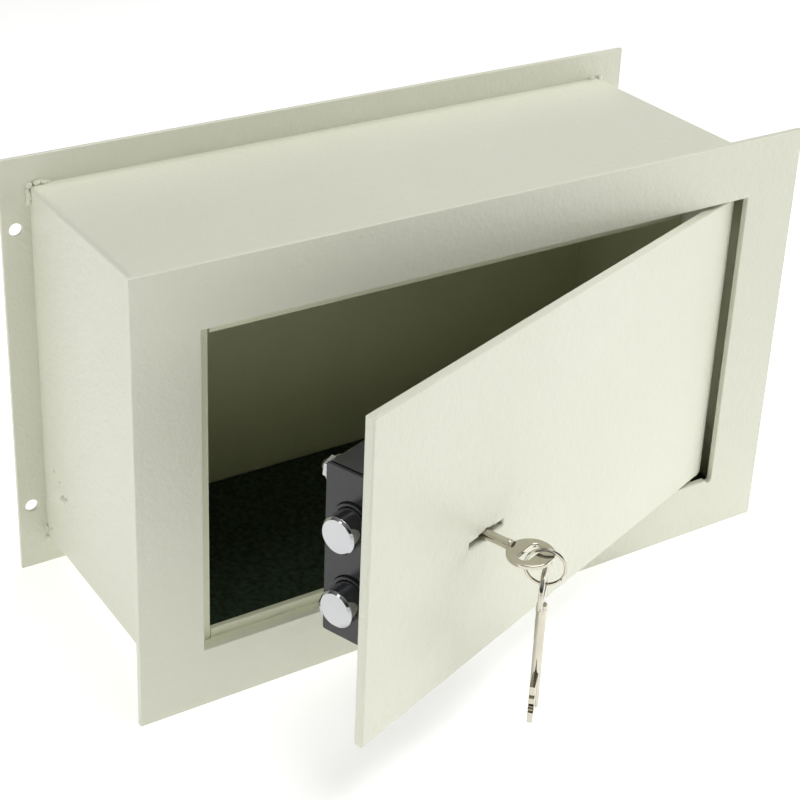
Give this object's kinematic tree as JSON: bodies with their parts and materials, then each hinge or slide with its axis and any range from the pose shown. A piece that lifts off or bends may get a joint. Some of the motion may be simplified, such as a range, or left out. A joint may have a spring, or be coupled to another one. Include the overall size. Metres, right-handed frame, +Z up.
{
  "type": "wall safe",
  "caption": "Key-locked wall safe: folded steel box with a flush face plate, drilled back plate, inset door on concealed pivots, black lock case with round bolts, and keys on a ring.",
  "frame": {"origin": "centre of the four fixing holes, on the back plate's rear face", "axes": "+X to the right seen from the front, +Y into the wall, +Z up"},
  "size_m": [0.31, 0.2072, 0.19],
  "materials": {
    "cream_paint": "cream-grey powder coat with a fine orange-peel texture",
    "black_paint": "gloss black paint on folded sheet",
    "bright_chrome": "bright chrome plate, turned",
    "zinc_steel": "zinc-plated mild steel",
    "nickel": "nickel plate, lightly rubbed",
    "brass": "stamped and turned brass",
    "felt": "dark green needle felt"
  },
  "bodies": {
    "safe_box": {"front_plate": "cream_paint", "stop_left": "cream_paint", "stop_top": "cream_paint", "stop_bottom": "cream_paint", "body_shell": "cream_paint", "back_plate": "cream_paint", "front_welds": "cream_paint", "back_welds": "cream_paint", "upper_hinge_lug": "cream_paint", "lower_hinge_lug": "cream_paint", "upper_hinge_bush": "brass", "lower_hinge_bush": "brass", "floor_carpet": "felt"},
    "door": {"door_plate": "cream_paint", "upper_hinge_knuckle": "cream_paint", "lower_hinge_knuckle": "cream_paint", "upper_hinge_pin": "zinc_steel", "lower_hinge_pin": "zinc_steel", "lock_base_plate": "zinc_steel", "hard_plate": "zinc_steel", "lock_case": "black_paint", "case_studs": "zinc_steel", "stud_washers": "bright_chrome", "cap_nuts": "bright_chrome", "upper_bolt_guide": "black_paint", "lower_bolt_guide": "black_paint", "key_end_cap": "black_paint", "carriage_post": "zinc_steel", "lever_post": "zinc_steel", "lever_springs": "zinc_steel"},
    "bolt_work": {"upper_bolt": "bright_chrome", "lower_bolt": "bright_chrome", "bolt_carriage": "zinc_steel", "bolt_screws": "zinc_steel", "fence_pin": "zinc_steel"},
    "first_lever": {"lever_1": "brass"},
    "second_lever": {"lever_2": "brass"},
    "third_lever": {"lever_3": "brass"},
    "barrel": {"key_barrel": "brass"},
    "key": {"key_blade": "nickel", "key_bow": "nickel"},
    "ring": {"key_ring": "nickel"},
    "spare_key": {"spare_key_blade": "nickel", "spare_key_bow": "nickel"}
  },
  "joints": [
    {"name": "door_hinge", "type": "hinge", "parent": "safe_box", "child": "door", "pos_m": [0.1106, -0.11, 0], "axis": [0, 0, 1], "range_deg": [-20, 80]},
    {"name": "key_turn", "type": "hinge", "parent": "door", "child": "barrel", "pos_m": [-0.05059, -0.14313, -0.0128], "axis": [0.342, -0.9397, 0], "range_deg": [0, 180]},
    {"name": "bolt_throw", "type": "slide", "parent": "door", "child": "bolt_work", "axis": [-0.9397, -0.342, 0], "range_m": [0, 0.012]},
    {"name": "key_withdraw", "type": "slide", "parent": "barrel", "child": "key", "axis": [0.342, -0.9397, 0], "range_m": [0, 0.045]},
    {"name": "ring_swing", "type": "hinge", "parent": "key", "child": "ring", "pos_m": [-0.02721, -0.19889, -0.0128], "axis": [0.7133, -0.7009, 0], "range_deg": [-15, 15]},
    {"name": "spare_key_swing", "type": "hinge", "parent": "ring", "child": "spare_key", "pos_m": [-0.02721, -0.19889, -0.0253], "axis": [0.7133, -0.7009, 0], "range_deg": [-20, 20]},
    {"name": "first_lever_lift", "type": "hinge", "parent": "door", "child": "first_lever", "pos_m": [-0.02603, -0.14483, 0.0032], "axis": [-0.342, 0.9397, 0], "range_deg": [0, 7], "stiffness_Nm_per_rad": 0.01, "springref_deg": -20.05},
    {"name": "second_lever_lift", "type": "hinge", "parent": "door", "child": "second_lever", "pos_m": [-0.02603, -0.14483, 0.0032], "axis": [-0.342, 0.9397, 0], "range_deg": [0, 7], "stiffness_Nm_per_rad": 0.01, "springref_deg": -20.05},
    {"name": "third_lever_lift", "type": "hinge", "parent": "door", "child": "third_lever", "pos_m": [-0.02603, -0.14483, 0.0032], "axis": [-0.342, 0.9397, 0], "range_deg": [0, 7], "stiffness_Nm_per_rad": 0.01, "springref_deg": -20.05}
  ],
  "couplings": [
    {"joint": "key_turn", "follows": "bolt_throw", "rad_per_m": 261.8}
  ]
}
